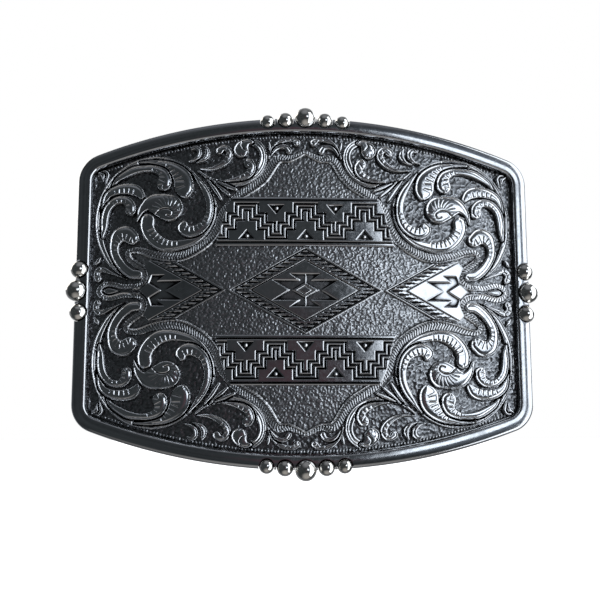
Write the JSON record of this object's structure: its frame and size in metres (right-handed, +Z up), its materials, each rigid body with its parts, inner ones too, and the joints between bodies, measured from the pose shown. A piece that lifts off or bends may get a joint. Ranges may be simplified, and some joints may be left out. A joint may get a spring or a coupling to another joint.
{
  "type": "belt buckle",
  "caption": "Bowed western belt buckle with a raised rim, applied scrollwork, stepped bands and diamonds, soldered edge balls, and a hinged belt loop and belt hook behind.",
  "frame": {"origin": "centre of the back plate's rear face, which lies against the belt", "axes": "+Z up as worn, -Y the front seen by a viewer, +X to the viewer's right"},
  "size_m": [0.0896, 0.0163, 0.0702],
  "materials": {
    "rim_silver": "antiqued satin silver, dark grey with worn bright edges",
    "ground_silver": "oxidised stippled ground, near black in the hollows",
    "panel_silver": "antiqued silver with bright raised lines and black grooves",
    "relief_silver": "antiqued relief, polished on the lips and dark in the cuts",
    "ball_silver": "polished silver with small dents",
    "hardware_nickel": "plain nickel-plated wire and tube, lightly scratched"
  },
  "bodies": {
    "buckle": {"back_plate": "rim_silver", "ball_bottom_centre": "ball_silver", "ball_bottom_inner_left": "ball_silver", "ball_bottom_inner_right": "ball_silver", "ball_bottom_outer_left": "ball_silver", "ball_bottom_outer_right": "ball_silver", "ball_left_centre": "ball_silver", "ball_left_lower": "ball_silver", "ball_left_upper": "ball_silver", "ball_right_centre": "ball_silver", "ball_right_lower": "ball_silver", "ball_right_upper": "ball_silver", "ball_top_centre": "ball_silver", "ball_top_inner_left": "ball_silver", "ball_top_inner_right": "ball_silver", "ball_top_outer_left": "ball_silver", "ball_top_outer_right": "ball_silver", "centre_diamond": "panel_silver", "corner_leaf_lower_left": "relief_silver", "corner_leaf_lower_right": "relief_silver", "corner_leaf_upper_left": "relief_silver", "corner_leaf_upper_right": "relief_silver", "corner_scroll_lower_left": "relief_silver", "corner_scroll_lower_right": "relief_silver", "corner_scroll_upper_left": "relief_silver", "corner_scroll_upper_right": "relief_silver", "crest_scroll_lower_left": "relief_silver", "crest_scroll_lower_right": "relief_silver", "crest_scroll_upper_left": "relief_silver", "crest_scroll_upper_right": "relief_silver", "ground_plate": "ground_silver", "hinge_tube": "hardware_nickel", "hook_base": "hardware_nickel", "hook_post": "hardware_nickel", "left_diamond": "panel_silver", "left_medallion": "relief_silver", "lower_step_band": "panel_silver", "pattern_plate": "panel_silver", "peak_curl_lower_left": "relief_silver", "peak_curl_lower_right": "relief_silver", "peak_curl_upper_left": "relief_silver", "peak_curl_upper_right": "relief_silver", "right_diamond": "panel_silver", "right_medallion": "relief_silver", "rim_frame": "rim_silver", "upper_step_band": "panel_silver"},
    "bail": {"bail": "hardware_nickel"}
  },
  "joints": [
    {"name": "bail_hinge", "type": "hinge", "parent": "buckle", "child": "bail", "pos_m": [0.014, 0.00256, 0], "axis": [0, 0, 1], "range_deg": [0, 178]}
  ]
}
